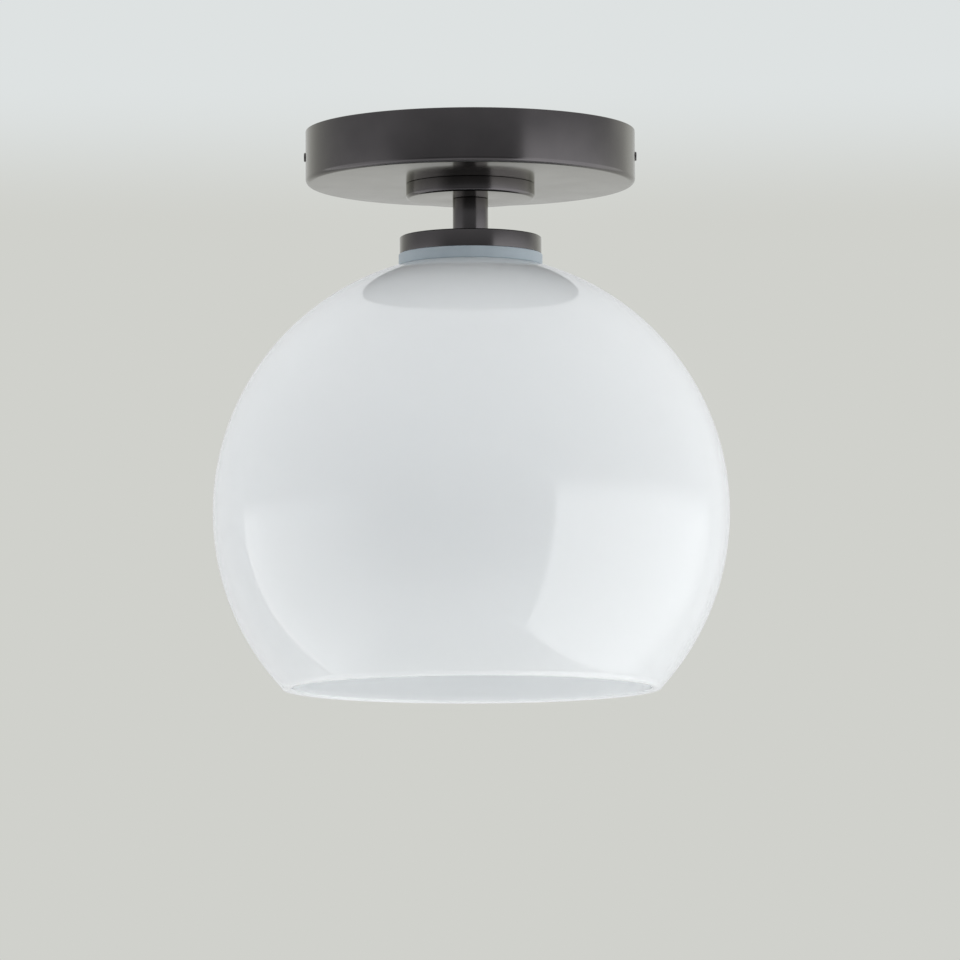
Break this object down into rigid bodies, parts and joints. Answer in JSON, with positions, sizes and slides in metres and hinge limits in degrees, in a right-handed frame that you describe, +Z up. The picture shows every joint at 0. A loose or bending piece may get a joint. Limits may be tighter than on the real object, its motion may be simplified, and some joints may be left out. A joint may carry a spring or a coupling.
{
  "type": "milk glass flush mount ceiling light",
  "caption": "Ceiling light: round metal canopy, short stem and cap, and a white milk glass globe open below, round a screw-in bulb.",
  "frame": {"origin": "on the ceiling plane, at the centre of the bracket's slots and of the canopy's rim", "axes": "+Z up into the ceiling along the light's own axis, +X through the side screws"},
  "size_m": [0.25, 0.25, 0.272],
  "materials": {
    "dark_bronze": "dark bronze powder coat, satin",
    "zinc_steel": "bright zinc plate",
    "green_screw": "green zinc plate",
    "milk_glass": "opaque white milk glass, polished",
    "seat_silicone": "translucent pale blue-grey, satin",
    "washer_fibre": "off-white soft fibre, matt",
    "holder_black": "black moulded phenolic, semi-gloss",
    "ceramic_white": "unglazed steatite",
    "brass": "plain brass",
    "nickel": "nickel plate, satin",
    "tin": "soldered tin",
    "black_glass": "black vitrite",
    "bulb_white": "white moulded housing",
    "bulb_frost": "frosted white",
    "board_white": "white solder mask",
    "phosphor": "yellow phosphor",
    "board_green": "green solder mask",
    "bushing_white": "natural nylon",
    "wire_black": "black insulation",
    "wire_white": "white insulation",
    "copper": "bare copper",
    "nut_orange": "orange moulded cap"
  },
  "bodies": {
    "fixture": {"canopy": "dark_bronze", "canopy_screws": "dark_bronze", "collar": "dark_bronze", "stem_tube": "dark_bronze", "shade_cap": "dark_bronze", "mounting_bracket": "zinc_steel", "locknut": "zinc_steel", "lock_washer": "zinc_steel", "threaded_nipple": "zinc_steel", "terminal_screws": "zinc_steel", "contact_spring": "zinc_steel", "ground_screw": "green_screw", "seat_ring": "seat_silicone", "holder_cap": "holder_black", "holder_body": "holder_black", "holder_insert": "ceramic_white", "screw_shell": "nickel", "line_terminal": "brass", "neutral_terminal": "nickel", "wire_bushing": "bushing_white", "live_lead": "wire_black", "neutral_lead": "wire_white", "ground_lead": "copper", "wire_nuts": "nut_orange"},
    "shade": {"glass_shade": "milk_glass", "ring_washer": "washer_fibre"},
    "shade_ring": {"shade_ring": "holder_black"},
    "centre_contact": {"centre_contact": "brass"},
    "bulb": {"bulb_tip_contact": "tin", "bulb_insulator": "black_glass", "bulb_cap": "nickel", "bulb_housing": "bulb_white", "bulb_diffuser": "bulb_frost", "led_board": "board_white", "leds": "phosphor", "bulb_driver": "board_green"}
  },
  "joints": [
    {"name": "shade_drop", "type": "slide", "parent": "fixture", "child": "shade", "axis": [0, 0, -1], "range_m": [0, 0.01]},
    {"name": "ring_turn", "type": "hinge", "parent": "shade", "child": "shade_ring", "pos_m": [0, 0, -0.071], "axis": [0, 0, -1], "range_deg": [0, 1800]},
    {"name": "contact_follow", "type": "slide", "parent": "fixture", "child": "centre_contact", "axis": [0, 0, -1], "range_m": [0, 0.00181], "deforming": ["contact_spring"]},
    {"name": "bulb_turn", "type": "hinge", "parent": "centre_contact", "child": "bulb", "pos_m": [0, 0, -0.08421], "axis": [0, 0, -1], "range_deg": [0, 180]}
  ],
  "couplings": [
    {"joint": "ring_turn", "follows": "shade_drop", "rad_per_m": 3141.6},
    {"joint": "bulb_turn", "follows": "contact_follow", "rad_per_m": 1731.4}
  ]
}
